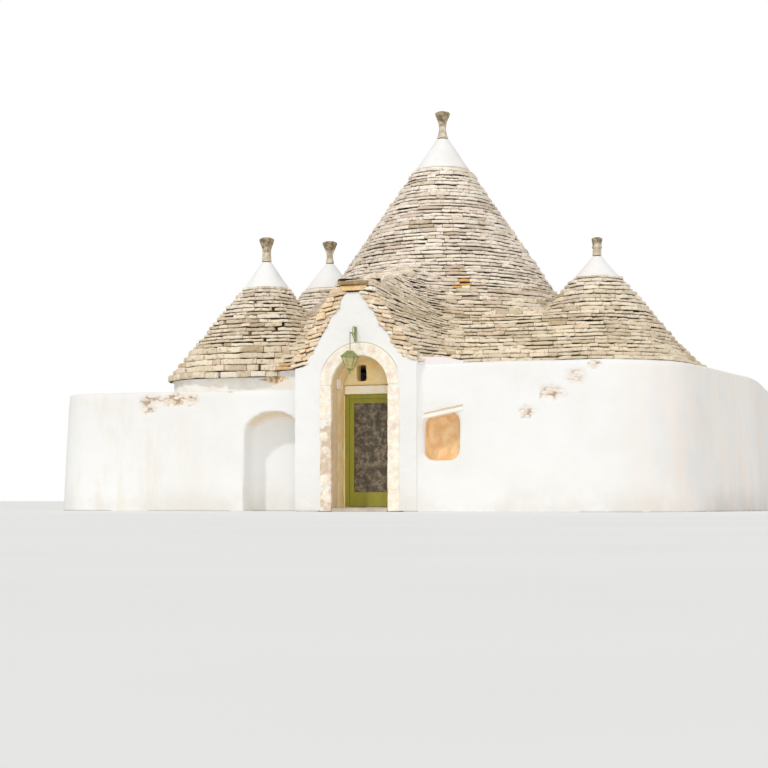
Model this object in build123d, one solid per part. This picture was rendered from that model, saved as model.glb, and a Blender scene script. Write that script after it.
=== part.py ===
from build123d import *
import math
import os

# Trullo house: a whitewashed wall mass with an arched porch under a small gable,
# and four dry-stone cone roofs over one round room and its three alcoves.
# Millimetres, +Z up. The origin is the middle of the main room at ground level,
# the porch faces -Y, and +X is to the right of someone who looks at the porch.

# Wall mass
terrace_z = 2560
low_terrace_z = 2200
low_terrace_x = -1250
batter_deg = 3
facade_y = -5083
left_facade_y = -4715
right_front_x = 5280
right_side_x = 6340
right_bend_y = -200
left_side_x = -6350
back_y = 4730
front_corner_radius = 1900
corner_radius = 1200
left_corner_radius = 800
bend_radius = 4000
jog_x = -100
above_all = 9000
far = 20000
search_steps = 30
smallest_piece = 5000000

# Cones: middle of each room in plan, and outside radius at heights up to the cap
main_xy = (0, 0)
right_xy = (3500, -1900)
left_xy = (-2940, -2220)
back_xy = (-3200, 2100)
main_cone = [(4430, 2560), (2300, 4270), (525, 6860)]
right_cone = [(1820, 2560), (1670, 2790), (405, 4265)]
left_cone = [(1760, 2460), (1190, 3240), (420, 4300)]
back_cone = [(2200, 2600), (1320, 3760), (520, 4840)]
left_back_split_y = -200
eave_overhang = 80

# Courses of the roofs, three together: their height, and the ledge at the top of each
course_band = 240
course_ledge = 45

# Bearings of the cuts between the wall pieces, other than those through the alcoves
porch_bearing = 270
wall_cut_right = 45
wall_cut_back = 98
full_turn = 360

# Rooms inside, each a round wall and a corbelled dome
main_room_r = 2800
right_room_r = 1250
left_room_r = 1200
back_room_r = 1350
main_dome = [(2800, 2650), (1650, 4270), (60, 6500)]
right_dome = [(1250, 2540), (60, 4050)]
left_dome = [(1200, 2460), (60, 4100)]
back_dome = [(1350, 2600), (60, 4600)]
alcove_way_width = 1400
alcove_way_head_z = 2050
floor_thickness = 60

# Straight stone apron that leads from the front wall up to the two front cones
apron_y = -4500
apron_right_x = 5350
apron_left_x = -1500
apron_back_y = 500
apron_side_y = -1500
apron_inner_x = 3000
apron_corner = 1750
apron_lean_deg = 60
apron_height = 957
left_base_half = 1690
left_base_corner = 1150
left_base_lean_deg = 38
left_base_height = 920

# White caps and their pinnacles: (radius, height) up each outline
cap_lip = 45
cap_swell = 0.35
cap_swell_height = 0.42
main_cap_top = (125, 7536)
right_cap_top = (90, 4704)
left_cap_top = (100, 4850)
back_cap_top = (100, 5455)
main_pinnacle = [(125, 0), (95, 70), (73, 200), (88, 330), (155, 490), (150, 525), (110, 545)]
right_pinnacle = [(88, 0), (80, 130), (98, 142), (98, 172), (84, 185), (90, 230), (108, 315), (72, 340)]
left_pinnacle = [(100, 0), (88, 120), (88, 240), (150, 420), (145, 450), (90, 475)]
back_pinnacle = [(100, 0), (75, 120), (78, 220), (168, 440), (160, 470), (100, 495)]

# Porch gable
gable_y = -5100
gable_left_x = -1250
gable_right_x = 1000
gable_depth = 700
left_shoulder = (-1077, 2530)
right_shoulder = (738, 2680)
left_shoulder_z = 2500
right_shoulder_z = 2640
gable_top_z = 3800
gable_top_left_x = -310
gable_top_right_x = 0
verge_width = 240
verge_setback = 100
verge_foot = 40
porch_roof_bottom_z = 2520
porch_roof_back_y = -2000
porch_roof_flare = 1650
ridge_rise = 680
slab_x = -150
slab_width = 530
slab_thickness = 80
slab_depth = 560
slab_overhang = 60
corbel_heights = [50, 50]
corbel_widths = [400, 480]
corbel_depth = 300

# Porch arch and its jambs
arch_x = -45
arch_inner_r = 505
arch_outer_r = 725
arch_spring_z = 2180
ring_depth = 350
ring_face_out = 12
voussoir_count = 11
mortar_gap = 8
left_jamb_heights = [420, 330, 470, 300, 360, 240]
right_jamb_heights = [380, 450, 320, 410, 300, 260]
jamb_face_step = 7

# Wall behind the porch, with the doorway and the small window over it
back_wall_thickness = 250
back_wall_side = 110
back_wall_top_z = 2760
door_head_z = 2067
lintel_top_z = 2225
lintel_side = 60
lintel_out = 45
lintel_front_inset = 4
window_x = -250
window_width = 160
window_sill_z = 2305
window_head_z = 2590
window_flare = 16
passage_width = 1220
passage_spring_z = 2050
step_thickness = 80

# Recesses in the front walls
right_recess_x = (1120, 1680)
right_recess_sill_z = 900
right_recess_head_z = 1590
right_recess_head_rise = 110
right_recess_depth = 420
recess_lintel_height = 110
recess_lintel_side = 90
left_recess_x = (-2370, -1330)
left_recess_head_z = 1760
left_recess_rise = 260
left_recess_depth = 500

# Door
frame_face = 60
frame_out = 15
frame_depth = 65
stop_width = 12
stop_depth = 20
leaf_gap = 5
leaf_free_gap = 7
leaf_thickness = 40
stile_width = 90
bottom_rail = 250
glass_thickness = 8
glass_seat = 12
hinge_count = 3
hinge_bottom_z = 320
hinge_pitch = 740
knuckle_r = 9
knuckle_height = 40
knuckle_gap = 1
hinge_pin_r = 6
hinge_running_gap = 0.3
hinge_off_face = 10
hinge_flag_width = 34
hinge_flag_thickness = 3
handle_z = 1080
handle_plate = (36, 220, 6)
handle_reach = 52
handle_r = 9
handle_length = 115

# Lantern on its scroll bracket
lantern_x = -110
bracket_clearance = 20
bracket_height = 255
bracket_plate = (45, 12)
bracket_bar_r = 9
brace_bar_r = 7
bracket_reach = 285
bracket_arm_up = 135
brace_foot_up = 20
bar_seat = 1
scroll_r = 70
lantern_drop = 180
lantern_hood_height = 105
lantern_body_height = 200
lantern_foot_height = 36
lantern_foot_half = 22
lantern_finial_height = 90
lantern_finial = [(8, 0), (16, 18), (10, 54)]
lantern_top_half = 123
lantern_base_half = 55
lantern_cap_half = 40
lantern_bar = 12
lantern_bar_width = 24
lantern_glass = 4


def place(shape, xy, z=0):
    return Pos(xy[0], xy[1], z) * shape


def turned(outline, xy, z=0):
    # Solid of revolution from (radius, height) points, closed along its axis.
    bottom = outline[0][1]
    top = outline[-1][1]
    points = [(0, bottom)] + list(outline) + [(0, top)]
    face = make_face(Plane.XZ * Polyline(points, close=True))
    return place(revolve(face, axis=Axis.Z), xy, z)


def radius_at(outline, z):
    for (r0, z0), (r1, z1) in zip(outline, outline[1:]):
        if z <= z1:
            return r0 + (r1 - r0) * (z - z0) / (z1 - z0)
    return outline[-1][0]


def stepped(outline):
    # The same cone in courses: each stands back from the one below it by a ledge.
    bottom = outline[0][1]
    rise = outline[-1][1] - bottom
    count = round(rise / course_band)
    points = []
    for index in range(count):
        low = bottom + rise * index / count
        high = bottom + rise * (index + 1) / count
        points.append((radius_at(outline, low) - course_ledge, low))
        points.append((radius_at(outline, high), high))
    return points


def drum(radius, bottom, top, xy):
    return place(Cylinder(radius, top - bottom, align=(Align.CENTER, Align.CENTER, Align.MIN)), xy, bottom)


def block(x0, x1, y0, y1, z0, z1):
    box = Box(x1 - x0, y1 - y0, z1 - z0, align=(Align.MIN, Align.MIN, Align.MIN))
    return Pos(x0, y0, z0) * box


def upright(points, y0, y1):
    # Prism whose outline is drawn in X and Z, from y0 at the front to y1 behind it.
    face = make_face(Plane((0, y1, 0), x_dir=(1, 0, 0), z_dir=(0, -1, 0)) * Polyline(points, close=True))
    return extrude(face, amount=y1 - y0, dir=(0, -1, 0))


def wedge(start_deg, end_deg):
    # Endless upright slice of the plan between two bearings from the main room's middle.
    middle_deg = (start_deg + end_deg) / 2
    points = [(0, 0)]
    for bearing in (start_deg, middle_deg, end_deg):
        angle = math.radians(bearing)
        points.append((far * math.cos(angle), far * math.sin(angle)))
    face = make_face(Polyline(points, close=True))
    return Pos(0, 0, -far / 2) * extrude(face, amount=far)


def valley_distance(cone, xy):
    # How far from the main room's middle the main cone and another one reach the same height.
    span = math.hypot(xy[0], xy[1])
    low = main_cone[0][1]
    high = cone[-1][1]
    for _ in range(search_steps):
        z = (low + high) / 2
        if radius_at(main_cone, z) + radius_at(cone, z) > span:
            low = z
        else:
            high = z
    return radius_at(main_cone, low)


def beyond(xy, distance):
    # Endless space past an upright plane, square to the line from the main room to xy.
    bearing = math.degrees(math.atan2(xy[1], xy[0]))
    space = Box(far, far, far, align=(Align.MIN, Align.CENTER, Align.CENTER))
    return Rot(0, 0, bearing) * Pos(distance, 0, 0) * space


def arch_prism(x, radius, spring_z, bottom_z, y0, y1):
    # Round-headed opening of the given half width, as a solid.
    barrel = Pos(x, (y0 + y1) / 2, spring_z) * Rot(90, 0, 0) * Cylinder(radius, y1 - y0)
    return barrel + block(x - radius, x + radius, y0, y1, bottom_z, spring_z)


def largest(shape):
    return max(shape.solids(), key=lambda solid: solid.volume)


def gathered(solids):
    return Compound(children=list(solids))


def sound_pieces(shape):
    # All that is left of a mass after its cuts, without the crumbs.
    solids = [solid for solid in shape.solids() if solid.volume > smallest_piece]
    return solids[0] if len(solids) == 1 else gathered(solids)


# Openings and rooms

door_left_x = arch_x - arch_inner_r
door_right_x = arch_x + arch_inner_r
door_y = gable_y + gable_depth
back_wall_y = door_y + back_wall_thickness


def passage():
    return arch_prism(arch_x, passage_width / 2, passage_spring_z, 0, back_wall_y, -main_room_r / 2)


def alcove_way(xy):
    bearing = math.degrees(math.atan2(xy[1], xy[0]))
    length = math.hypot(xy[0], xy[1])
    way = Box(length, alcove_way_width, alcove_way_head_z, align=(Align.MIN, Align.CENTER, Align.MIN))
    return Rot(0, 0, bearing) * way


def room_space():
    space = turned([(main_room_r, 0)] + main_dome, main_xy)
    for radius, dome, xy in (
        (right_room_r, right_dome, right_xy),
        (left_room_r, left_dome, left_xy),
        (back_room_r, back_dome, back_xy),
    ):
        space += turned([(radius, 0)] + dome, xy)
        space += alcove_way(xy)
    return space + passage()


def left_recess():
    x0, x1 = left_recess_x
    y1 = left_facade_y + left_recess_depth
    y0 = left_facade_y - left_recess_depth
    spring_z = left_recess_head_z - left_recess_rise
    half = (x1 - x0) / 2
    radius = (half * half + left_recess_rise * left_recess_rise) / (2 * left_recess_rise)
    axis_place = Pos((x0 + x1) / 2, (y0 + y1) / 2, left_recess_head_z - radius) * Rot(90, 0, 0)
    barrel = axis_place * Cylinder(radius, y1 - y0)
    head = barrel & block(x0, x1, y0, y1, spring_z, above_all)
    return head + block(x0, x1, y0, y1, -floor_thickness, spring_z)


def recess_head(x):
    # The rough lintel of the right recess lies askew, higher on the right.
    x0, x1 = right_recess_x
    return right_recess_head_z + right_recess_head_rise * (x - x0) / (x1 - x0)


def right_recess():
    x0, x1 = right_recess_x
    outline = [(x0, right_recess_sill_z), (x1, right_recess_sill_z), (x1, recess_head(x1)), (x0, recess_head(x0))]
    return upright(outline, facade_y - right_recess_depth, facade_y + right_recess_depth)


def recess_lintel_block():
    x0 = right_recess_x[0] - recess_lintel_side
    x1 = right_recess_x[1] + recess_lintel_side
    outline = [
        (x0, recess_head(x0)), (x1, recess_head(x1)),
        (x1, recess_head(x1) + recess_lintel_height), (x0, recess_head(x0) + recess_lintel_height),
    ]
    return upright(outline, facade_y - right_recess_depth, facade_y + right_recess_depth)


# Walls

def wall_mass():
    corners = [
        (jog_x, facade_y), (right_front_x, facade_y), (right_side_x, right_bend_y), (right_side_x, back_y),
        (left_side_x, back_y), (left_side_x, left_facade_y), (jog_x, left_facade_y),
    ]
    outline = make_face(Polyline(corners, close=True))
    radii = [front_corner_radius, bend_radius, corner_radius, corner_radius, left_corner_radius]
    for corner, radius in zip(corners[1:6], radii):
        point = min(outline.vertices(), key=lambda vertex: math.dist((vertex.X, vertex.Y), corner))
        outline = fillet(point, radius)
    mass = extrude(outline, amount=terrace_z, taper=batter_deg)
    mass -= block(-far, low_terrace_x, -far, far, low_terrace_z, above_all)
    return mass


def gable_place():
    return block(gable_left_x, gable_right_x, -far, door_y, -floor_thickness, above_all)


def back_wall_block():
    return block(door_left_x - back_wall_side, door_right_x + back_wall_side, door_y, back_wall_y,
                 0, back_wall_top_z)


def gable_outline():
    return [
        (gable_left_x, 0), (gable_left_x, left_shoulder_z), left_shoulder,
        (gable_top_left_x, gable_top_z), (gable_top_right_x, gable_top_z),
        right_shoulder, (gable_right_x, right_shoulder_z), (gable_right_x, 0),
    ]


def gable_wall():
    wall = upright(gable_outline(), gable_y, door_y)
    wall -= arch_prism(arch_x, arch_inner_r, arch_spring_z, -floor_thickness, gable_y, door_y)
    ring_back_y = gable_y + ring_depth
    return wall - arch_prism(arch_x, arch_outer_r, arch_spring_z, -floor_thickness, gable_y, ring_back_y)


def arch_ring():
    # Wedge-shaped stones round the head of the porch, a mortar joint apart.
    pieces = []
    step_deg = 180 / voussoir_count
    joint_deg = math.degrees(mortar_gap / arch_inner_r)
    for index in range(voussoir_count):
        start = math.radians(index * step_deg + joint_deg / 2)
        end = math.radians((index + 1) * step_deg - joint_deg / 2)
        if index == 0:
            start = 0
        if index == voussoir_count - 1:
            end = math.pi
        middle = (start + end) / 2
        inner = [(math.cos(a) * arch_inner_r, math.sin(a) * arch_inner_r) for a in (start, middle, end)]
        outer = [(math.cos(a) * arch_outer_r, math.sin(a) * arch_outer_r) for a in (end, middle, start)]
        edges = [
            ThreePointArc(*inner), Line(inner[2], outer[0]), ThreePointArc(*outer), Line(outer[2], inner[0]),
        ]
        face_plane = Plane((arch_x, gable_y + ring_depth, arch_spring_z), x_dir=(1, 0, 0), z_dir=(0, -1, 0))
        face = make_face(face_plane * Curve(edges))
        stone = extrude(face, amount=ring_depth + ring_face_out, dir=(0, -1, 0))
        pieces.append(stone.solid())
    return gathered(pieces)


def jamb_stones():
    # Squared stones up both sides of the porch, long and short by turns.
    pieces = []
    for side, heights in ((-1, left_jamb_heights), (1, right_jamb_heights)):
        scale = (arch_spring_z - mortar_gap * len(heights)) / sum(heights)
        bottom = 0
        for index, height in enumerate(heights):
            top = bottom + height * scale
            face_out = ring_face_out + jamb_face_step * (index % 2)
            inner_x = arch_x + side * arch_inner_r
            outer_x = arch_x + side * arch_outer_r
            x0, x1 = sorted((inner_x, outer_x))
            pieces.append(block(x0, x1, gable_y - face_out, gable_y + ring_depth, bottom, top).solid())
            bottom = top + mortar_gap
    return gathered(pieces)


def porch_back_wall():
    wall = back_wall_block()
    wall -= block(door_left_x, door_right_x, door_y - lintel_out, back_wall_y, -floor_thickness, door_head_z)
    wall -= lintel_block()
    half = window_width / 2
    opening = [
        (window_x - half, window_sill_z), (window_x - half, window_head_z),
        (window_x + half, window_head_z), (window_x + half + window_flare, window_sill_z),
    ]
    return wall - upright(opening, door_y, back_wall_y)


def lintel_block():
    return block(door_left_x - lintel_side, door_right_x + lintel_side, door_y, back_wall_y,
                 door_head_z, lintel_top_z)


def lintel():
    front = block(door_left_x + lintel_front_inset, door_right_x - lintel_front_inset,
                  door_y - lintel_out, door_y, door_head_z, lintel_top_z)
    return lintel_block() + front


def gable_corbels():
    pieces = []
    bottom = gable_top_z
    for width, height in zip(corbel_widths, corbel_heights):
        y0 = gable_y - slab_overhang / 2
        pieces.append(block(slab_x - width / 2, slab_x + width / 2, y0, y0 + corbel_depth,
                            bottom, bottom + height))
        bottom += height
    return pieces[0] + pieces[1]


def gable_slab():
    bottom = gable_top_z + sum(corbel_heights)
    y0 = gable_y - slab_overhang
    return block(slab_x - slab_width / 2, slab_x + slab_width / 2, y0, y0 + slab_depth,
                 bottom, bottom + slab_thickness)


def porch_roof_outline(rise, flare):
    top_z = gable_top_z + sum(corbel_heights) + rise
    return [
        (gable_left_x - verge_foot, porch_roof_bottom_z),
        (left_shoulder[0] - verge_width, left_shoulder[1]),
        (slab_x - slab_width / 2, top_z), (slab_x + slab_width / 2, top_z),
        (right_shoulder[0] + verge_width + flare, right_shoulder[1]),
        (gable_right_x + verge_foot + flare, porch_roof_bottom_z),
    ]


def porch_roof_body():
    # The ridge climbs from the gable to the main cone, and the right side spreads into the apron.
    front_y = gable_y + verge_setback
    faces = []
    for y, rise, flare in ((front_y, 0, 0), (porch_roof_back_y, ridge_rise, porch_roof_flare)):
        plane = Plane((0, y, 0), x_dir=(1, 0, 0), z_dir=(0, -1, 0))
        faces.append(make_face(plane * Polyline(porch_roof_outline(rise, flare), close=True)))
    return loft(faces, ruled=True)


# Roofs

def apron_outline(inset):
    corners = [
        (apron_left_x, apron_y + inset), (apron_right_x - inset, apron_y + inset),
        (apron_right_x - inset, apron_side_y), (apron_inner_x - inset, apron_back_y),
        (apron_left_x, apron_back_y),
    ]
    outline = make_face(Polyline(corners, close=True))
    point = min(outline.vertices(), key=lambda vertex: math.dist((vertex.X, vertex.Y), corners[1]))
    return fillet(point, apron_corner - inset)


def left_base_outline(inset):
    side = 2 * (left_base_half - inset)
    return Pos(left_xy[0], left_xy[1], 0) * RectangleRounded(side, side, left_base_corner - inset)


def stacked(outline_at, bottom, height, lean_deg):
    # Courses of a straight-sided base, with the same ledges as the cones.
    count = round(height / course_band)
    rise = height / count
    run = rise * math.tan(math.radians(lean_deg))
    taper = math.degrees(math.atan2(run - course_ledge, rise))
    stack = None
    for index in range(count):
        outline = outline_at(run * index + course_ledge)
        course = Pos(0, 0, bottom + rise * index) * extrude(outline, amount=rise, taper=taper)
        stack = course if stack is None else stack + course
    return stack


def stone_roof():
    roof = turned(stepped(main_cone), main_xy) + turned(stepped(right_cone), right_xy)
    roof += stacked(apron_outline, terrace_z, apron_height, apron_lean_deg)
    roof += turned(stepped(left_cone), left_xy)
    roof += stacked(left_base_outline, left_cone[0][1], left_base_height, left_base_lean_deg)
    return roof + turned(stepped(back_cone), back_xy)


def drums():
    ring = drum(main_cone[0][0] - eave_overhang, low_terrace_z, main_cone[0][1], main_xy)
    ring += drum(back_cone[0][0] - eave_overhang, low_terrace_z, back_cone[0][1], back_xy)
    left_height = left_cone[0][1] - low_terrace_z
    return ring + Pos(0, 0, low_terrace_z) * extrude(left_base_outline(eave_overhang), amount=left_height)


def cap(cone, top, xy):
    base_r, base_z = cone[-1]
    top_r, top_z = top
    swell_r = base_r + (top_r - base_r) * cap_swell
    swell_z = base_z + (top_z - base_z) * cap_swell_height
    outline = [(base_r + cap_lip, base_z), (base_r + cap_lip / 2, base_z + cap_lip), (swell_r, swell_z), top]
    return turned(outline, xy)


def pinnacle(outline, top, xy):
    return turned(outline, xy, top[1])


# Door

frame_front_y = door_y + frame_out
frame_back_y = frame_front_y + frame_depth
leaf_front_y = frame_back_y - leaf_thickness
leaf_x0 = door_left_x + frame_face + leaf_gap
leaf_x1 = door_right_x - frame_face - leaf_free_gap
leaf_z0 = step_thickness + leaf_free_gap
leaf_z1 = door_head_z - frame_face - leaf_gap
hinge_x = door_left_x + frame_face + leaf_gap / 2
hinge_y = frame_back_y + hinge_off_face


def door_frame():
    outer = block(door_left_x, door_right_x, frame_front_y, frame_back_y, step_thickness, door_head_z)
    inner_x0 = door_left_x + frame_face
    inner_x1 = door_right_x - frame_face
    inner_z1 = door_head_z - frame_face
    outer -= block(inner_x0, inner_x1, leaf_front_y - leaf_gap, frame_back_y, 0, inner_z1)
    stop_front_y = leaf_front_y - leaf_gap - stop_depth
    outer -= block(inner_x0 + stop_width, inner_x1 - stop_width, stop_front_y, frame_back_y,
                   0, inner_z1 - stop_width)
    return outer


def door_leaf():
    leaf = block(leaf_x0, leaf_x1, leaf_front_y, frame_back_y, leaf_z0, leaf_z1)
    pane = (leaf_x0 + stile_width, leaf_x1 - stile_width, leaf_z0 + bottom_rail, leaf_z1 - stile_width)
    leaf -= block(pane[0], pane[1], leaf_front_y, frame_back_y, pane[2], pane[3])
    return leaf - glass_block()


def glass_block():
    y0 = (leaf_front_y + frame_back_y - glass_thickness) / 2
    inset = stile_width - glass_seat
    return block(leaf_x0 + inset, leaf_x1 - inset, y0, y0 + glass_thickness,
                 leaf_z0 + bottom_rail - glass_seat, leaf_z1 - inset)


def knuckle(bottom, top, hole_r):
    tube = Cylinder(knuckle_r, top - bottom, align=(Align.CENTER, Align.CENTER, Align.MIN))
    if hole_r:
        tube -= Cylinder(hole_r, top - bottom, align=(Align.CENTER, Align.CENTER, Align.MIN))
    return place(tube, (hinge_x, hinge_y), bottom)


def hinge_flag(x0, x1, bottom, top):
    return block(x0, x1, frame_back_y, frame_back_y + hinge_flag_thickness, bottom, top)


def hinge_heights():
    return [hinge_bottom_z + index * hinge_pitch for index in range(hinge_count)]


def hinge_posts():
    # The half on the frame: a flag, its knuckle, and the pin that stands in it.
    pieces = []
    for bottom in hinge_heights():
        top = bottom + knuckle_height
        post = knuckle(bottom, top, 0)
        post += hinge_flag(hinge_x - hinge_flag_width, hinge_x, bottom, top)
        post -= block(hinge_x, hinge_x + knuckle_r, frame_back_y, frame_back_y + knuckle_gap, bottom, top)
        pin_top = top + knuckle_gap + knuckle_height
        post += drum(hinge_pin_r, bottom, pin_top, (hinge_x, hinge_y))
        pieces.append(largest(post))
    return gathered(pieces)


def hinge_knuckles():
    # The half on the leaf, which turns on the pin.
    pieces = []
    for bottom in hinge_heights():
        low = bottom + knuckle_height + knuckle_gap
        top = low + knuckle_height
        half = knuckle(low, top, 0)
        half += hinge_flag(hinge_x + leaf_gap / 2, hinge_x + hinge_flag_width, low, top)
        half -= drum(hinge_pin_r + hinge_running_gap, low, top, (hinge_x, hinge_y))
        pieces.append(largest(half))
    return gathered(pieces)


def door_handle():
    # A plate and a lever on each face, on the stile away from the hinges.
    width, height, thickness = handle_plate
    x = leaf_x1 - stile_width / 2
    pieces = []
    for face_y, side in ((leaf_front_y, -1), (frame_back_y, 1)):
        y0, y1 = sorted((face_y, face_y + side * thickness))
        plate = block(x - width / 2, x + width / 2, y0, y1, handle_z - height / 2, handle_z + height / 2)
        neck = Cylinder(handle_r, handle_reach, align=(Align.CENTER, Align.CENTER, Align.MIN))
        plate += Pos(x, face_y, handle_z) * Rot(-90 * side, 0, 0) * neck
        lever_y = face_y + side * (handle_reach - handle_r)
        lever = Cylinder(handle_r, handle_length, align=(Align.CENTER, Align.CENTER, Align.MIN))
        plate += Pos(x + handle_r, lever_y, handle_z) * Rot(0, -90, 0) * lever
        pieces.append(plate.solid())
    return gathered(pieces)


# Lantern

lantern_y = gable_y - bracket_reach
bracket_bottom_z = arch_spring_z + arch_outer_r + bracket_clearance
bracket_top_z = bracket_bottom_z + bracket_height
bracket_arm_z = bracket_bottom_z + bracket_arm_up
lantern_top_z = bracket_bottom_z - lantern_drop
lantern_brim_z = lantern_top_z - lantern_hood_height
lantern_base_z = lantern_brim_z - lantern_body_height
lantern_foot_z = lantern_base_z - lantern_foot_height
lantern_finial_z = lantern_base_z - lantern_finial_height


def rod(start, end, radius):
    path = Line(start, end)
    return sweep(Plane(origin=start, z_dir=path % 0) * Circle(radius), path=path)


def lantern_bracket():
    # A wall plate, an arm and a brace that meet over the lantern, and a scroll between them.
    plate_width, plate_depth = bracket_plate
    plate_y = gable_y - plate_depth
    arm_tip = (lantern_x, lantern_y, bracket_arm_z)
    brace_tip = (lantern_x, lantern_y + scroll_r, bracket_arm_z)
    bracket = block(lantern_x - plate_width / 2, lantern_x + plate_width / 2, plate_y, gable_y,
                    bracket_bottom_z, bracket_top_z)
    bracket += rod((lantern_x, plate_y + bar_seat, bracket_arm_z), arm_tip, bracket_bar_r)
    bracket += rod((lantern_x, plate_y + bar_seat, bracket_bottom_z + brace_foot_up), brace_tip, brace_bar_r)
    bracket += rod(arm_tip, (lantern_x, lantern_y, lantern_top_z), brace_bar_r)
    scroll_middle = (lantern_x, plate_y - scroll_r, bracket_top_z - scroll_r)
    scroll_plane = Plane(scroll_middle, x_dir=(0, 1, 0), z_dir=(1, 0, 0))
    return bracket + scroll_plane * Torus(scroll_r, brace_bar_r)


def lantern_shell(half_top, half_base, top_z, base_z):
    faces = []
    for half, z in ((half_base, base_z), (half_top, top_z)):
        faces.append(Pos(lantern_x, lantern_y, z) * Rectangle(2 * half, 2 * half))
    return loft(faces, ruled=True)


def lantern_body(inset):
    return lantern_shell(lantern_top_half - inset, lantern_base_half - inset, lantern_brim_z, lantern_base_z)


def lantern_panes():
    seat = lantern_bar / 2
    return lantern_body(seat) - lantern_body(seat + lantern_glass)


def lantern_frame():
    # Four corner bars between a brim and a foot, a hipped hood on top and a drop below.
    bars = lantern_body(0) - lantern_body(lantern_bar)
    for shift in (-lantern_bar_width, lantern_bar_width):
        bars -= Pos(shift, 0, 0) * lantern_body(lantern_bar)
        bars -= Pos(0, shift, 0) * lantern_body(lantern_bar)
    bars -= lantern_panes()
    hood = lantern_shell(lantern_cap_half, lantern_top_half + lantern_bar, lantern_top_z, lantern_brim_z)
    foot = lantern_shell(lantern_base_half, lantern_foot_half, lantern_base_z, lantern_foot_z)
    drop = turned(lantern_finial, (lantern_x, lantern_y), lantern_finial_z)
    return hood + bars + foot + drop


# Assembly

def bearing_of(xy):
    return math.degrees(math.atan2(xy[1], xy[0])) % full_turn


def build_nodes():
    nodes = {}
    space = room_space()
    mass = wall_mass()
    walls = mass - space
    walls -= gable_place()
    walls -= back_wall_block()
    walls -= left_recess()
    walls -= right_recess()
    nodes["recess_lintel"] = largest(recess_lintel_block() & walls)
    walls -= recess_lintel_block()
    cuts = [porch_bearing, bearing_of(right_xy), wall_cut_right, wall_cut_back, bearing_of(back_xy),
            bearing_of(left_xy), porch_bearing]
    names = [
        "front_right_wall", "right_wall", "back_right_wall", "back_left_wall", "left_wall", "front_left_wall",
    ]
    for name, start, end in zip(names, cuts, cuts[1:]):
        if end < start:
            end += full_turn
        nodes[name] = largest(walls & wedge(start, end))

    slab = block(-far, far, -far, far, 0, floor_thickness)
    nodes["floor"] = largest(space & slab)
    nodes["porch_floor"] = block(door_left_x, door_right_x, gable_y, door_y, 0, floor_thickness)
    nodes["threshold"] = block(door_left_x, door_right_x, door_y, back_wall_y, 0, step_thickness)

    nodes["gable_wall"] = gable_wall()
    nodes["arch_ring"] = arch_ring()
    nodes["jamb_stones"] = jamb_stones()
    nodes["porch_back_wall"] = porch_back_wall()
    nodes["door_lintel"] = lintel()
    nodes["gable_corbels"] = gable_corbels()
    nodes["gable_slab"] = gable_slab()

    past_right = beyond(right_xy, valley_distance(right_cone, right_xy))
    past_left = beyond(left_xy, valley_distance(left_cone, left_xy))
    past_back = beyond(back_xy, valley_distance(back_cone, back_xy))
    front_half = block(-far, far, -far, left_back_split_y, 0, above_all)

    rings = drums() - mass - space
    nodes["left_drum"] = largest((rings & past_left) & front_half)
    nodes["back_drum"] = largest((rings & past_back) - front_half)
    nodes["main_drum"] = sound_pieces((rings - past_left) - past_back)

    whole_roof = stone_roof()
    gable_body = upright(gable_outline(), gable_y, door_y)
    roof = whole_roof
    for other in (space, drums(), mass, gable_body, back_wall_block()):
        roof -= other
    nodes["right_roof"] = largest(roof & past_right)
    nodes["left_roof"] = largest((roof & past_left) & front_half)
    nodes["back_roof"] = largest((roof & past_back) - front_half)
    main_roof = ((roof - past_right) - past_left) - past_back
    for name, middle in (("front", -90), ("right", 0), ("back", 90), ("left", 180)):
        quarter = wedge(middle - full_turn / 8, middle + full_turn / 8)
        nodes["main_roof_" + name] = largest(main_roof & quarter)

    porch_roof = porch_roof_body() - whole_roof
    for other in (mass, gable_body, nodes["gable_corbels"], nodes["gable_slab"],
                  back_wall_block(), drums(), space):
        porch_roof -= other
    nodes["porch_roof"] = largest(porch_roof)

    for name, cone, top, xy, outline in (
        ("main", main_cone, main_cap_top, main_xy, main_pinnacle),
        ("right", right_cone, right_cap_top, right_xy, right_pinnacle),
        ("left", left_cone, left_cap_top, left_xy, left_pinnacle),
        ("back", back_cone, back_cap_top, back_xy, back_pinnacle),
    ):
        nodes[name + "_cap"] = cap(cone, top, xy)
        nodes[name + "_pinnacle"] = pinnacle(outline, top, xy)

    nodes["door_frame"] = door_frame()
    nodes["door_leaf"] = door_leaf()
    nodes["door_glass"] = glass_block()
    nodes["hinge_posts"] = hinge_posts()
    nodes["hinge_knuckles"] = hinge_knuckles()
    nodes["door_handle"] = door_handle()
    nodes["lantern_bracket"] = lantern_bracket()
    nodes["lantern_frame"] = lantern_frame()
    nodes["lantern_glass"] = lantern_panes()
    return nodes


def main():
    os.makedirs("parts", exist_ok=True)
    for name, shape in build_nodes().items():
        shape.label = name
        export_step(shape, "parts/" + name + ".step")
        print(name, len(shape.solids()), round(shape.volume / 1e9, 4))


main()
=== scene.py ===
import math
import random
from collections import namedtuple

import bmesh
import bpy
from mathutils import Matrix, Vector, noise


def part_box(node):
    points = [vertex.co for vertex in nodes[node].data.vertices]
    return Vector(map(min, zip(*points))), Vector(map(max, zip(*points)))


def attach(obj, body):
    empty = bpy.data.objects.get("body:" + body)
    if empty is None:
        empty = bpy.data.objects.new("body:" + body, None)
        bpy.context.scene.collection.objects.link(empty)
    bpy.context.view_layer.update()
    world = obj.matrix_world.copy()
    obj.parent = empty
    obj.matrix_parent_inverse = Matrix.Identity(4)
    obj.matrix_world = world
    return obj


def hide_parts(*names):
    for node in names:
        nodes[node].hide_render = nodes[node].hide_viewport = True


# Trullo house, dressed for a picture. Metres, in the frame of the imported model.

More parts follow.
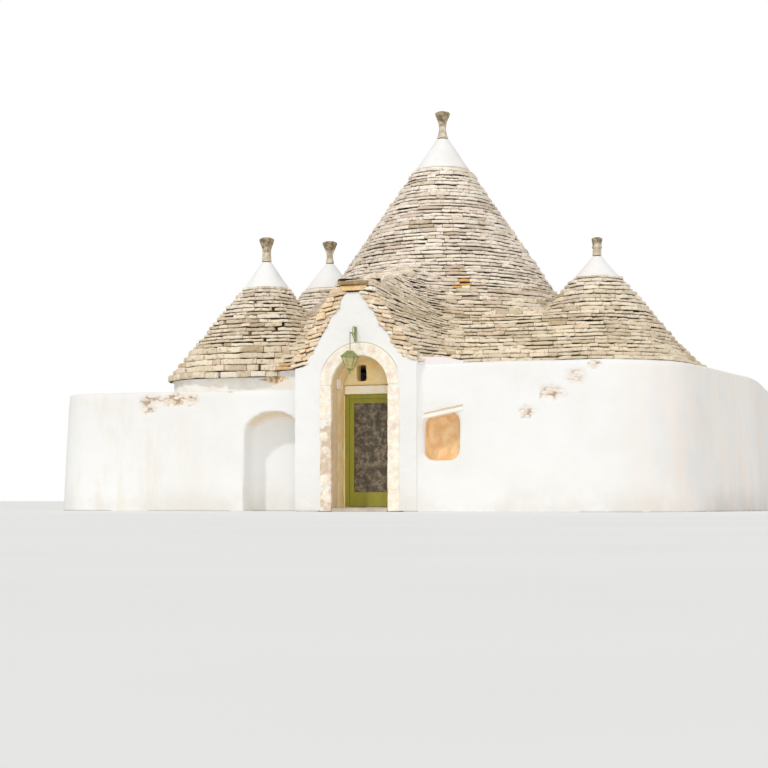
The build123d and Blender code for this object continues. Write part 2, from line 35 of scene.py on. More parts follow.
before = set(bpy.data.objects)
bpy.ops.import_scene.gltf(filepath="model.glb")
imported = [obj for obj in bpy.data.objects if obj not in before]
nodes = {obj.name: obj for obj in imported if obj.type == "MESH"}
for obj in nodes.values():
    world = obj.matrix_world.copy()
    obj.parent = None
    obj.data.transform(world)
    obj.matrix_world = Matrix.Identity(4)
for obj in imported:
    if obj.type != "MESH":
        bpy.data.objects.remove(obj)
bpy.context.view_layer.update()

# View of the picture
camera_bearing = 18.0
camera_distance = 31.5
camera_side = 1.19
camera_height = 0.20
focal_pixels = 1550.0
picture_width = 768.0
horizon_row = 500.0

# Roof shapes, as the solids have them: radius and height up each cone
main_outline = [(4.43, 2.56), (2.30, 4.27), (0.525, 6.86)]
right_outline = [(1.82, 2.56), (1.67, 2.79), (0.405, 4.265)]
left_outline = [(1.76, 2.46), (1.19, 3.24), (0.42, 4.30)]
back_outline = [(2.20, 2.60), (1.32, 3.76), (0.52, 4.84)]
apron_low = (-1.50, -4.50)
apron_high = (5.35, 0.50)
apron_side = (5.35, -1.50)
apron_inner = (3.00, 0.50)
apron_z = 2.56
apron_corner = 1.75
apron_slope = math.tan(math.radians(60))
apron_shoulder_z = 3.50
apron_top_run = 3.0
left_square_half = 1.69
left_square_corner = 1.15
left_square_slope = math.tan(math.radians(38))

# Porch roof: plan places of its sides at the shoulder and at the top, front and back
porch_front_y = -5.04
porch_back_y = -2.00
shoulder_z = 2.60
shoulder_left_x = -1.317
shoulder_right_x = 0.978
ridge_left_x = -0.415
ridge_right_x = 0.115
ridge_front_z = 3.95
ridge_back_z = 4.62
porch_flare = 1.65
ridge_start_y = -4.72
course_fall = 0.17
fall_reach = 1.6
porch_stone_lengths = (0.12, 0.36)
porch_top_level = 5.50
verge_stone_width = 0.26
verge_depth = 0.40
verge_fall = 0.20
verge_split = (0.35, 0.65)
verge_split_chance = 0.6
verge_shares = (0.0, 0.12, 0.37, 0.63, 0.88, 1.0)
porch_face_depth = 0.05
porch_face_drop = 0.04
gable_slopes = [(2.53, -1.077), (3.80, -0.31), (2.68, 0.738), (3.80, 0.0)]

# Dry-laid courses
first_course_z = apron_z + 0.005
course_pitch = 0.079
left_course_pitch = 0.118
left_coarse_top_z = 2.95
course_wander = 0.14
course_setback = 0.68
left_course_setback = 0.70
region_overlap = 0.09
roof_overlap = 0.22
bed_joints = (0.010, 0.028)
stone_nose = (0.012, 0.056)
stone_wander = 0.008
stone_sag = 0.014
stone_depth = 0.20
stone_depth_most = 0.70
tail_cover = 0.10
stone_lengths = (0.14, 0.52)
left_stone_lengths = (0.16, 0.46)
joint_width = 0.008
stone_tone_mean = 0.71
stone_tone_spread = 0.26
stone_tone_patch = 0.25
walk_step = 0.055
turn_limit = math.radians(32)
valley_softness = 0.42
porch_softness = 0.40

# Flat stones on the saddles: width, depth and thickness, and the heights to look between
saddle_stone = (0.16, 0.62, 0.075)
saddle_search = (2.60, 6.00)

# Porch
arch_x = -0.045
arch_inner_r = 0.505
arch_outer_r = 0.725
arch_spring_z = 2.18
niche_front_y = -5.10
niche_back_y = -3.60
niche_top_z = 2.75
rim_gap = 0.012
rim_edge = (0.004, 0.018)
door_edge = 0.003
lantern_edge = 0.0015
plate_size = (0.012, 0.22, 0.17)
plate_middle = (-0.538, -4.74, 2.225)

# Front wall: its face at ground level, how it leans back, and the soft edges of its recesses
front_wall_y = -5.083
wall_batter = 0.0524
right_recess_x = ((1.06, 1.10), (1.72, 1.76))
right_recess_z = ((0.80, 0.84), (1.80, 1.84))
right_recess_back_y = (-4.30, -4.20)
left_recess_x = ((-2.42, -2.36), (-1.34, -1.26))
left_recess_head_z = (1.30, 1.45)
recess_lintel_x = 1.12
recess_lintel_z = 1.59
recess_lintel_rise = 0.196

# Broken patch on the drum under the left roof
drum_patch_x = -2.07
drum_patch_z = 2.42
drum_patch_back_y = (-3.6, -3.4)

# Where the wear of the finishes starts and ends
right_streak_x = (3.9, 5.6)
right_runs_x = (4.4, 5.9)
left_streak_x = (-4.2, -2.4)
damp_foot_z = (0.02, 0.55)
worn_jamb_x = (-0.6, -0.2)
worn_jamb_z = (1.45, 1.80)
roof_dull_z = (3.2, 4.8)
porch_roof_white_z = 2.68

# Limewash: pale tone and dull tone
wall_limewash = ((0.870, 0.868, 0.850), (0.830, 0.818, 0.788))
cap_limewash = ((0.875, 0.872, 0.855), (0.83, 0.81, 0.775))
collar_limewash = ((0.88, 0.85, 0.78), (0.78, 0.70, 0.58))
# Greyed, lilac limewash: painted shade for the mortar under the porch roof's foot
shaded_limewash = ((0.84, 0.80, 0.80), (0.76, 0.70, 0.69))

# The walls run this far into the ground before their foot is cut level
wall_footing = 0.15
wall_voxel = 0.066
wall_smoothing = 3
wall_swells = [(0.9, 0.026), (3.3, 0.012)]

# Wear on the walls: middle, half size across and up, depth, strength
wall_wear = [
    ((4.00, -4.95, 2.45), (0.10, 0.07), 0.016, 1.0),
    ((3.69, -4.95, 2.26), (0.19, 0.13), 0.008, 0.55),
    ((3.26, -4.95, 2.00), (0.20, 0.10), 0.016, 1.0),
    ((2.87, -4.98, 1.67), (0.14, 0.08), 0.014, 0.9),
    ((-3.72, -4.60, 2.04), (0.40, 0.11), 0.022, 1.0),
    ((-4.30, -4.60, 2.03), (0.16, 0.09), 0.022, 1.0),
    ((-4.32, -4.62, 1.87), (0.13, 0.08), 0.050, 0.8),
    ((-2.67, -4.60, 2.19), (0.025, 0.025), 0.040, 1.0),
]

wear_depth_y = 0.25
wear_raggedness = 0.45
wear_edge = 1.25
wear_softness = 0.5

# Stones that stand out by colour: middle, reach, stain value (above 0.55 white, below 0.45 orange)
stains = [
    ((-0.10, -3.30, 4.30), 0.45, 0.80),
    ((2.30, -1.80, 3.75), 0.20, 0.90),
    ((0.94, -2.17, 4.29), 0.15, 0.06),
    ((-2.90, -4.04, 2.52), 0.14, 0.95),
    ((-2.30, -4.00, 2.52), 0.16, 0.90),
    ((-1.85, -4.05, 2.50), 0.22, 0.20),
]

# Mortar at the foot of the porch roof's right side
foot_start_x = 0.97
foot_end_x = 1.75
foot_top_z = 2.66
foot_front_y = -4.91
foot_depth = 0.60
foot_bed = 0.06
foot_steps = 12

# Ragged limewash at the foot of the caps
collar_steps = 72
collar_drop = 0.055

# Weathered skins: nodes, slot, grid size, rounds of smoothing, depth of the unevenness, its scale
Skin = namedtuple("Skin", "sources slot voxel smoothing depth scale")
skins = {
    "gable_plaster": Skin(["gable_wall"], "white_plaster", 0.024, 3, 0.026, 3.4),
    "porch_inner_wall": Skin(["porch_back_wall"], "porch_plaster", 0.024, 2, 0.008, 3.0),
    "porch_arch": Skin(["arch_ring"], "cream_stone", 0.019, 1, 0.007, 9.0),
    "porch_jambs": Skin(["jamb_stones"], "cream_stone", 0.017, 1, 0.014, 7.0),
    "niche_lintel": Skin(["recess_lintel"], "cream_stone", 0.014, 2, 0.010, 9.0),
    "porch_lintel": Skin(["door_lintel"], "lintel_stone", 0.014, 2, 0.010, 8.0),
    "porch_top_slab": Skin(["gable_slab"], "slab_stone", 0.014, 2, 0.014, 9.0),
    "porch_top_corbels": Skin(["gable_corbels"], "roof_stone", 0.014, 2, 0.012, 9.0),
}
for name, voxel in (("main", 0.026), ("right", 0.022), ("left", 0.022), ("back", 0.026)):
    skins[name + "_white_cap"] = Skin([name + "_cap"], "white_cap", voxel, 3, 0.016, 5.0)
    skins[name + "_finial"] = Skin([name + "_pinnacle"], "pinnacle_stone", 0.009, 3, 0.008, 16.0)

# Dark crust on a pinnacle's head, as shares of its height
crust_start = 0.46
crust_band = 0.18
crust_wander = 0.25

# Lamps: name, strength, spread in degrees, colour, heading
lamps = [
    ("sun", 1.17, 4.0, (1.0, 0.98, 0.94), (0.42, 0.72, -1.0)),
    ("side_fill", 0.64, 70.0, (1.0, 0.98, 0.96), (-0.66, 0.66, -0.42)),
    ("front_fill", 0.40, 16.0, (1.0, 0.97, 0.92), (-0.36, 0.93, -0.10)),
]

# Floor and sky
floor_size = 400.0
floor_drop = 0.002
sky_colour = (0.93, 0.96, 1.0, 1.0)
sky_strength = 0.545


def middle_of(node):
    low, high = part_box(node)
    return (low + high) / 2


# Shader graph helpers

class Wire:
    """A socket that takes part in sums."""

    def __init__(self, paint, socket):
        self.paint = paint
        self.socket = socket

    def __add__(self, other):
        return self.paint.math("ADD", self, other)

    def __sub__(self, other):
        return self.paint.math("SUBTRACT", self, other)

    def __rsub__(self, other):
        return self.paint.math("SUBTRACT", other, self)

    def __mul__(self, other):
        return self.paint.math("MULTIPLY", self, other)

    def size(self):
        return self.paint.math("ABSOLUTE", self)

    def ramp(self, low, high, start=0.0, end=1.0):
        settings = {"interpolation_type": "SMOOTHSTEP", "clamp": True}
        return self.paint.node("ShaderNodeMapRange", settings, [self, low, high, start, end])

    def between(self, rise, fall):
        # 1 between two ramps.
        return self.ramp(*rise) * (1 - self.ramp(*fall))


class Paint:
    """One material: a Principled shader and the nodes that feed it."""

    def __init__(self, name, roughness, specular, metallic=0.0):
        self.material = bpy.data.materials.new(name)
        self.material.use_nodes = True
        self.tree = self.material.node_tree
        self.tree.nodes.clear()
        self.shader = self.tree.nodes.new("ShaderNodeBsdfPrincipled")
        output = self.tree.nodes.new("ShaderNodeOutputMaterial")
        self.tree.links.new(self.shader.outputs[0], output.inputs["Surface"])
        self.shader.inputs["Roughness"].default_value = roughness
        self.shader.inputs["Metallic"].default_value = metallic
        self.shader.inputs["Specular IOR Level"].default_value = specular

    def feed(self, socket, value):
        if isinstance(value, Wire):
            self.tree.links.new(value.socket, socket)
        elif socket.type == "RGBA":
            socket.default_value = (*value, 1.0)
        else:
            socket.default_value = value

    def node(self, kind, settings=None, values=(), output=0):
        made = self.tree.nodes.new(kind)
        for key, value in (settings or {}).items():
            setattr(made, key, value)
        pairs = values.items() if isinstance(values, dict) else enumerate(values)
        for key, value in pairs:
            self.feed(made.inputs[key], value)
        return Wire(self, made.outputs[output])

    def math(self, operation, *values):
        return self.node("ShaderNodeMath", {"operation": operation}, values)

    def place(self, stretch=None):
        where = self.node("ShaderNodeTexCoord", output="Object")
        if stretch:
            return self.node("ShaderNodeMapping", {}, {"Vector": where, "Scale": stretch})
        return where

    def axes(self):
        where = self.place()
        return [self.node("ShaderNodeSeparateXYZ", {}, [where], output=name) for name in "XYZ"]

    def noise(self, scale, detail=4.0, roughness=0.55, stretch=None):
        where = self.place(stretch)
        values = {"Vector": where, "Scale": scale, "Detail": detail, "Roughness": roughness}
        return self.node("ShaderNodeTexNoise", {}, values)

    def cells(self, scale, output="Distance", stretch=None):
        values = {"Vector": self.place(stretch), "Scale": scale}
        return self.node("ShaderNodeTexVoronoi", {}, values, output=output)

    def mix(self, factor, first, second, blend="MIX"):
        settings = {"data_type": "RGBA", "blend_type": blend}
        return self.node("ShaderNodeMix", settings, {0: factor, 6: first, 7: second}, output=2)

    def facing_up(self):
        facing = self.node("ShaderNodeNewGeometry", output="True Normal")
        return self.node("ShaderNodeSeparateXYZ", {}, [facing], output="Z")

    def mark(self, name, channel="Red"):
        colour = self.node("ShaderNodeAttribute", {"attribute_name": name}, output="Color")
        return self.node("ShaderNodeSeparateColor", {}, [colour], output=channel)

    def colour(self, value):
        self.base = value
        self.feed(self.shader.inputs["Base Color"], value)

    def cover(self, share, value, blend="MIX"):
        # Lays a colour over what is there.
        self.colour(self.mix(share, self.base, value, blend))

    def clouds(self, pale, dull, grain, span):
        # Two tones mixed by a noise, which is given back.
        cloud = self.noise(*grain)
        self.colour(self.mix(cloud.ramp(*span), pale, dull))
        return cloud

    def spots(self, value, grain, span, share):
        self.cover(self.noise(*grain).ramp(*span) * share, value)

    def rough(self, value):
        self.feed(self.shader.inputs["Roughness"], value)

    def alpha(self, value):
        self.feed(self.shader.inputs["Alpha"], value)

    def bump(self, height, strength, distance):
        values = {"Strength": strength, "Distance": distance, "Height": height}
        self.feed(self.shader.inputs["Normal"], self.node("ShaderNodeBump", {}, values))


# Finishes

def niche_mask(paint):
    # 1 on the sides and roof of the porch, 0 on its face.
    x, y, z = paint.axes()
    inside = 1 - (x - arch_x).size().ramp(arch_inner_r + 0.03, arch_inner_r + 0.05)
    below = 1 - z.ramp(niche_top_z, niche_top_z + 0.05)
    front = 1 - y.ramp(niche_back_y, niche_back_y + 0.05)
    return inside * below * front * y.ramp(niche_front_y + 0.015, niche_front_y + 0.10)


def painted_underside_shade(paint):
    # 1 on faces that look down; used to paint shade on them.
    return (0.0 - paint.facing_up()).ramp(0.35, 0.75)


def add_streaks(paint, broad):
    # Rain marks at both ends of the walls and damp at their foot.
    x, y, z = paint.axes()
    streak = paint.noise(2.6, 6.0, 0.65, stretch=(1.0, 1.0, 0.22))
    runs = paint.noise(5.5, 5.0, 0.7, stretch=(1.0, 1.0, 0.10))
    paint.cover(x.ramp(*right_streak_x) * streak.ramp(0.36, 0.60) * 0.50, (0.97, 0.86, 0.76))
    paint.cover(x.ramp(*right_runs_x) * runs.ramp(0.50, 0.64) * 0.30, (0.90, 0.74, 0.62))
    paint.cover((1 - x.ramp(*left_streak_x)) * streak.ramp(0.48, 0.68) * 0.45, (0.80, 0.72, 0.60))
    paint.cover((1 - z.ramp(*damp_foot_z)) * broad.ramp(0.3, 0.6) * 0.35, (0.60, 0.56, 0.49))


def add_bare_rubble(paint):
    # Bare stones where the wear mark is set; gives the lift of their joints.
    bare = paint.mark("wear")
    rubble = paint.cells(11.0, "Color", stretch=(1.0, 1.0, 1.9))
    rubble_tone = paint.node("ShaderNodeSeparateColor", {}, [rubble], output="Red")
    stones = paint.mix(rubble_tone, (0.74, 0.60, 0.46), (0.92, 0.84, 0.73))
    joints = paint.cells(11.0, stretch=(1.0, 1.0, 1.9))
    paint.cover(bare, paint.mix(joints.ramp(0.50, 0.80), stones, (0.42, 0.31, 0.22)))
    return joints * bare


def add_porch_tones(paint):
    # Ochre plaster inside the porch, and a painted shadow line round the arch.
    x, y, z = paint.axes()
    cloud = paint.noise(5.0, 5.0).ramp(0.35, 0.65)
    paint.cover(niche_mask(paint), paint.mix(cloud, (0.98, 0.72, 0.38), (1.0, 0.86, 0.56)))
    off_x = x - arch_x
    off_z = z - arch_spring_z
    reach = paint.math("SQRT", off_x * off_x + off_z * off_z)
    rim_shadow = 1 - (reach - arch_outer_r - rim_gap).size().ramp(*rim_edge)
    rim_shadow = rim_shadow * z.ramp(arch_spring_z + 0.1, arch_spring_z + 0.4)
    rim_shadow = rim_shadow * (1 - y.ramp(niche_front_y + 0.04, niche_front_y + 0.06))
    paint.cover(rim_shadow * 0.75, (0.56, 0.50, 0.30))


def add_recess_tones(paint):
    # Painted warm shade under the left recess's head, and ochre inside the right recess.
    x, y, z = paint.axes()
    soffit_shade = painted_underside_shade(paint) * z.ramp(*left_recess_head_z) * x.between(*left_recess_x)
    paint.cover(soffit_shade * 0.8, (0.86, 0.72, 0.52))
    cloud = paint.noise(6.0, 4.0).ramp(0.35, 0.65)
    behind = (y - z * wall_batter - front_wall_y).ramp(0.06, 0.10) * (1 - y.ramp(*right_recess_back_y))
    in_recess = x.between(*right_recess_x) * z.between(*right_recess_z) * behind
    paint.cover(in_recess, paint.mix(cloud, (0.92, 0.70, 0.42), (0.80, 0.52, 0.27)))


def limewash_paint():
    paint = Paint("limewash", 0.93, 0.2)
    broad = paint.clouds(*wall_limewash, (0.7, 5.0, 0.6), (0.35, 0.7))
    add_streaks(paint, broad)
    joints = add_bare_rubble(paint)
    add_porch_tones(paint)
    add_recess_tones(paint)
    swell = broad * 0.6 + paint.noise(22.0, 4.0, 0.6) * 0.25 + paint.noise(7.0, 3.0) * 0.5
    paint.bump(swell - joints * 1.5, 0.55, 0.02)
    return paint


def cap_paint(name, tones):
    paint = Paint(name, 0.93, 0.2)
    broad = paint.clouds(*tones, (2.4, 5.0, 0.6), (0.4, 0.72))
    paint.spots((0.90, 0.78, 0.73), (1.3, 3.0), (0.50, 0.66), 0.5)
    paint.bump(broad + paint.noise(30.0, 3.0) * 0.3, 0.5, 0.015)
    return paint


def drum_paint():
    paint = Paint("drum_limewash", 0.93, 0.2)
    broad = paint.clouds((0.96, 0.94, 0.89), (0.90, 0.84, 0.74), (3.0, 5.0, 0.6), (0.35, 0.62))
    x, y, z = paint.axes()
    reach = (x - drum_patch_x).size() * 0.28 + (z - drum_patch_z).size() + broad * 0.10
    broken = (1 - reach.ramp(0.10, 0.16)) * (1 - y.ramp(*drum_patch_back_y))
    stones = paint.cells(14.0).ramp(0.3, 0.7)
    paint.cover(broken, paint.mix(stones, (0.90, 0.66, 0.40), (0.50, 0.34, 0.20)))
    paint.bump(broad + paint.noise(16.0, 4.0) * 0.5, 0.7, 0.03)
    return paint


def roof_stone_paint():
    # Each stone's mark: red is light or dark, green is hue, blue is a stain.
    paint = Paint("roof_stone", 0.9, 0.2)
    hue = paint.mark("stone", "Green")
    stain = paint.mark("stone", "Blue")
    grain = paint.noise(15.0, 5.0, 0.7)
    pale = paint.mix(hue, (1.0, 0.93, 0.79), (0.99, 0.87, 0.76))
    dark = paint.mix(hue, (0.58, 0.47, 0.33), (0.62, 0.50, 0.40))
    paint.colour(paint.mix(paint.mark("stone"), dark, pale))
    paint.cover(grain.ramp(0.52, 0.68) * 0.75, (0.34, 0.26, 0.17))
    paint.spots((0.98, 0.95, 0.89), (6.0, 4.0), (0.54, 0.70), 0.5)
    paint.spots((0.74, 0.52, 0.30), (3.4, 4.0), (0.58, 0.72), 0.45)
    paint.cover(stain.ramp(0.55, 1.0), (0.92, 0.88, 0.83))
    paint.cover((0.45 - stain).ramp(0.0, 0.40), (0.80, 0.46, 0.16))
    x, y, z = paint.axes()
    paint.cover(1 - z.ramp(*roof_dull_z), (0.92, 0.89, 0.80), "MULTIPLY")
    # Painted shade on faces that look down, so the gaps between the courses read dark.
    paint.cover(painted_underside_shade(paint), (0.10, 0.070, 0.045))
    paint.bump(grain + paint.noise(55.0, 3.0) * 0.5, 0.9, 0.016)
    return paint


def verge_stone_paint():
    paint = Paint("verge_stone", 0.9, 0.2)
    grain = paint.noise(18.0, 5.0, 0.65)
    pale = paint.mix(paint.mark("stone", "Green"), (0.98, 0.92, 0.80), (0.97, 0.72, 0.42))
    paint.colour(paint.mix(paint.mark("stone"), (0.70, 0.52, 0.33), pale))
    paint.cover(grain.ramp(0.50, 0.66) * 0.7, (0.46, 0.34, 0.21))
    paint.spots((0.97, 0.90, 0.78), (9.0, 4.0), (0.52, 0.66), 0.7)
    # Painted shade on faces that look down, so the gaps under the stones read dark.
    paint.cover(painted_underside_shade(paint), (0.12, 0.085, 0.055))
    paint.bump(grain, 0.8, 0.012)
    return paint


def roof_core_paint(name, white_top_z):
    # Packing behind the courses, painted dark as shade; limewash on the dome inside and on what shows at
    # the foot.
    paint = Paint(name, 0.97, 0.1)
    x, y, z = paint.axes()
    up = paint.facing_up()
    # Near black as painted shade in the gaps between stones; faces that look up get a lighter brown.
    paint.clouds((0.09, 0.062, 0.040), (0.17, 0.125, 0.085), (9.0, 5.0), (0.35, 0.7))
    paint.cover(up.ramp(0.80, 0.97), (0.40, 0.32, 0.23))
    paint.cover(1 - up.ramp(-0.05, 0.02), (0.74, 0.70, 0.62))
    paint.cover(1 - z.ramp(white_top_z, white_top_z + 0.03), (0.88, 0.86, 0.82))
    paint.bump(paint.noise(14.0, 5.0), 0.8, 0.02)
    return paint


def dressed_stone_paint():
    paint = Paint("dressed_stone", 0.88, 0.25)
    x, y, z = paint.axes()
    speck = paint.noise(38.0, 4.0, 0.7)
    blotch = paint.clouds((0.96, 0.92, 0.82), (0.88, 0.76, 0.60), (9.0, 5.0, 0.65), (0.36, 0.64))
    paint.spots((0.78, 0.62, 0.55), (5.0, 3.0), (0.58, 0.72), 0.7)
    paint.cover(speck.ramp(0.60, 0.74) * 0.6, (0.50, 0.45, 0.40))
    worn = (1 - z.ramp(*worn_jamb_z)) * (1 - x.ramp(*worn_jamb_x))
    paint.spots((0.66, 0.52, 0.38), (6.0, 4.0), (0.38, 0.6), worn)
    paint.cover(niche_mask(paint) * 0.75, (0.80, 0.60, 0.36))
    paint.bump(blotch + speck * 0.4, 0.7, 0.012)
    return paint


def porch_plaster_paint():
    paint = Paint("porch_plaster", 0.92, 0.2)
    cloud = paint.clouds((1.0, 0.88, 0.54), (0.98, 0.72, 0.36), (3.2, 6.0, 0.65), (0.35, 0.65))
    paint.spots((0.97, 0.88, 0.66), (8.0, 4.0), (0.58, 0.72), 0.6)
    paint.bump(cloud + paint.noise(26.0, 4.0) * 0.3, 0.6, 0.015)
    return paint


def lintel_paint():
    paint = Paint("lintel_stone", 0.86, 0.25)
    cloud = paint.clouds((1.0, 0.98, 0.92), (1.0, 0.90, 0.68), (6.0, 5.0, 0.6), (0.40, 0.62))
    paint.bump(cloud + paint.noise(40.0, 3.0) * 0.3, 0.5, 0.01)
    return paint


def niche_lintel_paint():
    paint = Paint("niche_lintel_stone", 0.88, 0.25)
    x, y, z = paint.axes()
    cloud = paint.clouds((0.97, 0.92, 0.84), (0.95, 0.84, 0.76), (9.0, 5.0, 0.65), (0.36, 0.64))
    # A painted shadow band along the top of the lintel, under the plaster's edge.
    over_foot = z - recess_lintel_z - (x - recess_lintel_x) * recess_lintel_rise
    paint.cover(over_foot.ramp(0.060, 0.080), (0.62, 0.54, 0.36))
    paint.bump(cloud + paint.noise(38.0, 4.0) * 0.4, 0.7, 0.012)
    return paint


def porch_top_paint(name, pale, dull):
    paint = Paint(name, 0.9, 0.25)
    cloud = paint.clouds(pale, dull, (7.0, 5.0, 0.6), (0.38, 0.62))
    paint.bump(cloud + paint.noise(40.0, 3.0) * 0.3, 0.7, 0.012)
    return paint


def corbel_paint():
    paint = porch_top_paint("corbel_stone", (0.90, 0.66, 0.34), (0.74, 0.46, 0.18))
    # Painted shade on the corbels' undersides.
    paint.cover(painted_underside_shade(paint), (0.22, 0.14, 0.07))
    return paint


def pinnacle_paint():
    paint = Paint("pinnacle_stone", 0.88, 0.25)
    cloud = paint.clouds((0.78, 0.70, 0.56), (0.48, 0.41, 0.29), (14.0, 5.0, 0.65), (0.38, 0.62))
    head = paint.mix(cloud.ramp(0.40, 0.60), (0.50, 0.38, 0.24), (0.17, 0.15, 0.10))
    paint.cover(paint.mark("crust"), head)
    paint.spots((0.24, 0.21, 0.15), (30.0, 4.0), (0.60, 0.72), 0.7)
    paint.bump(cloud + paint.noise(70.0, 3.0) * 0.4, 0.8, 0.008)
    return paint


def floor_stone_paint():
    paint = Paint("floor_stone", 0.8, 0.3)
    tone = paint.clouds((0.60, 0.54, 0.45), (0.48, 0.42, 0.34), (4.0, 5.0, 0.6), (0.35, 0.65))
    paint.bump(tone - paint.cells(1.9) * 0.2, 0.4, 0.01)
    return paint


def green_door_paint():
    paint = Paint("olive_green_paint", 0.42, 0.5)
    worn = paint.noise(6.0, 5.0, 0.6, stretch=(1.0, 1.0, 0.25))
    paint.colour(paint.mix(worn.ramp(0.35, 0.7), (0.34, 0.32, 0.030), (0.27, 0.26, 0.026)))
    paint.rough(worn.ramp(0.3, 0.7, 0.36, 0.55))
    paint.bump(paint.noise(60.0, 3.0, stretch=(1.0, 1.0, 0.08)), 0.25, 0.002)
    return paint


def door_glass_paint():
    paint = Paint("door_glass", 0.06, 0.5)
    # Dark, with brownish clouds that are a painted reflection in the glass.
    blotch = paint.clouds((0.085, 0.068, 0.045), (0.26, 0.21, 0.145), (9.0, 5.0, 0.7), (0.42, 0.62))
    paint.rough(blotch.ramp(0.35, 0.65, 0.05, 0.30))
    paint.bump(paint.noise(1.6, 2.0), 0.25, 0.01)
    paint.alpha(0.92)
    return paint


def hinge_paint():
    paint = Paint("hinge_iron", 0.6, 0.3, metallic=0.7)
    rust = paint.clouds((0.10, 0.10, 0.09), (0.20, 0.11, 0.06), (60.0, 4.0), (0.4, 0.65))
    paint.bump(rust, 0.3, 0.001)
    return paint


def handle_paint():
    paint = Paint("handle_brass", 0.35, 0.3, metallic=1.0)
    wear = paint.clouds((0.62, 0.47, 0.22), (0.40, 0.28, 0.12), (50.0, 4.0), (0.35, 0.65))
    paint.rough(wear.ramp(0.3, 0.7, 0.28, 0.5))
    return paint


def lantern_paint():
    paint = Paint("lantern_verdigris", 0.55, 0.4)
    bloom = paint.clouds((0.34, 0.36, 0.12), (0.19, 0.21, 0.07), (22.0, 5.0, 0.65), (0.38, 0.62))
    paint.spots((0.16, 0.17, 0.11), (50.0, 4.0), (0.60, 0.72), 1.0)
    paint.bump(bloom, 0.3, 0.002)
    return paint


def lantern_glass_paint():
    paint = Paint("lantern_glass", 0.12, 0.5)
    paint.clouds((0.80, 0.72, 0.36), (0.62, 0.60, 0.28), (12.0, 3.0), (0.35, 0.65))
    paint.alpha(0.28)
    return paint


def plate_paint():
    paint = Paint("bare_plate", 0.5, 0.4)
    paint.clouds((1.0, 0.99, 0.96), (0.93, 0.91, 0.86), (12.0, 3.0), (0.35, 0.65))
    return paint


# Pieces

def new_piece(name, mesh, paint, body="house"):
    piece = bpy.data.objects.new(name, mesh)
    bpy.context.scene.collection.objects.link(piece)
    mesh.materials.clear()
    mesh.materials.append(paint.material)
    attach(piece, body)
    return piece


def joined_copy(names):
    work = bmesh.new()
    for name in names:
        work.from_mesh(nodes[name].data)
    mesh = bpy.data.meshes.new("joined")
    work.to_mesh(mesh)
    work.free()
    return mesh


def remeshed(mesh, voxel, smoothing):
    carrier = bpy.data.objects.new("carrier", mesh)
    bpy.context.scene.collection.objects.link(carrier)
    grid = carrier.modifiers.new("grid", "REMESH")
    grid.mode = "VOXEL"
    grid.voxel_size = voxel
    soften = carrier.modifiers.new("soften", "SMOOTH")
    soften.factor = 0.5
    soften.iterations = smoothing
    shown = carrier.evaluated_get(bpy.context.evaluated_depsgraph_get())
    result = bpy.data.meshes.new_from_object(shown)
    bpy.data.objects.remove(carrier)
    return result


def uneven(where, scale):
    return 0.5 + 0.5 * noise.noise(where * scale)


def weathered(name, paint, backing=()):
    """A hand-finished skin in place of plain solids, with soft edges and dips that go inward."""
    skin = skins[name]
    mesh = remeshed(joined_copy([*skin.sources, *backing]), skin.voxel, skin.smoothing)
    outward = [vertex.normal.copy() for vertex in mesh.vertices]
    for vertex, normal in zip(mesh.vertices, outward):
        where = vertex.co.copy()
        lift = uneven(where, skin.scale) * 0.7 + uneven(where, skin.scale * 3.1) * 0.3
        vertex.co = where - normal * skin.depth * lift
    mesh.shade_smooth()
    piece = new_piece(name, mesh, paint)
    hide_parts(*skin.sources)
    return piece


def mark_points(mesh, name, values):
    marks = mesh.color_attributes.new(name, "FLOAT_COLOR", "POINT")
    for mark, value in zip(marks.data, values):
        mark.color = (*value, 1.0)


def finial(name, paint):
    # The flared head of a pinnacle is crusted dark, its neck still pale.
    piece = weathered(name, paint)
    low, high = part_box(skins[name].sources[0])
    crusts = []
    for vertex in piece.data.vertices:
        share = (vertex.co.z - low.z) / (high.z - low.z)
        crust = (share - crust_start + crust_wander * noise.noise(vertex.co * 12.0)) / crust_band
        crusts.append([min(max(crust, 0.0), 1.0)] * 3)
    mark_points(piece.data, "crust", crusts)


def wear_at(where):
    strength = 0.0
    sink = 0.0
    for middle, half, depth, amount in wall_wear:
        off = where - Vector(middle)
        if abs(off.y) > wear_depth_y:
            continue
        reach = math.hypot(off.x / half[0], off.z / half[1])
        reach += wear_raggedness * noise.noise(where * 9.0)
        share = min(max((wear_edge - reach) / wear_softness, 0.0), 1.0)
        strength = max(strength, share * amount)
        sink = max(sink, share * depth)
    return strength, sink


def wall_skin(paint):
    sources = [
        "front_right_wall", "right_wall", "back_right_wall",
        "back_left_wall", "left_wall", "front_left_wall",
    ]
    mesh = joined_copy(sources + ["gable_wall", "recess_lintel"])
    for vertex in mesh.vertices:
        if vertex.co.z < 0.001:
            vertex.co.z = -wall_footing
    mesh = remeshed(mesh, wall_voxel, wall_smoothing)
    outward = [vertex.normal.copy() for vertex in mesh.vertices]
    strengths = []
    for vertex, normal in zip(mesh.vertices, outward):
        where = vertex.co.copy()
        lift = sum(uneven(where, scale) * depth for scale, depth in wall_swells)
        strength, sink = wear_at(where)
        vertex.co = where - normal * (lift + sink)
        vertex.co.z = max(vertex.co.z, 0.0)
        strengths.append([strength] * 3)
    mark_points(mesh, "wear", strengths)
    mesh.shade_smooth()
    piece = new_piece("whitewashed_walls", mesh, paint)
    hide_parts(*sources)


# Plan of the roofs at a height: a distance that is negative inside

def radius_at(outline, z):
    if z <= outline[0][1]:
        return outline[0][0]
    for (r0, z0), (r1, z1) in zip(outline, outline[1:]):
        if z <= z1:
            return r0 + (r1 - r0) * (z - z0) / (z1 - z0)
    return -1.0


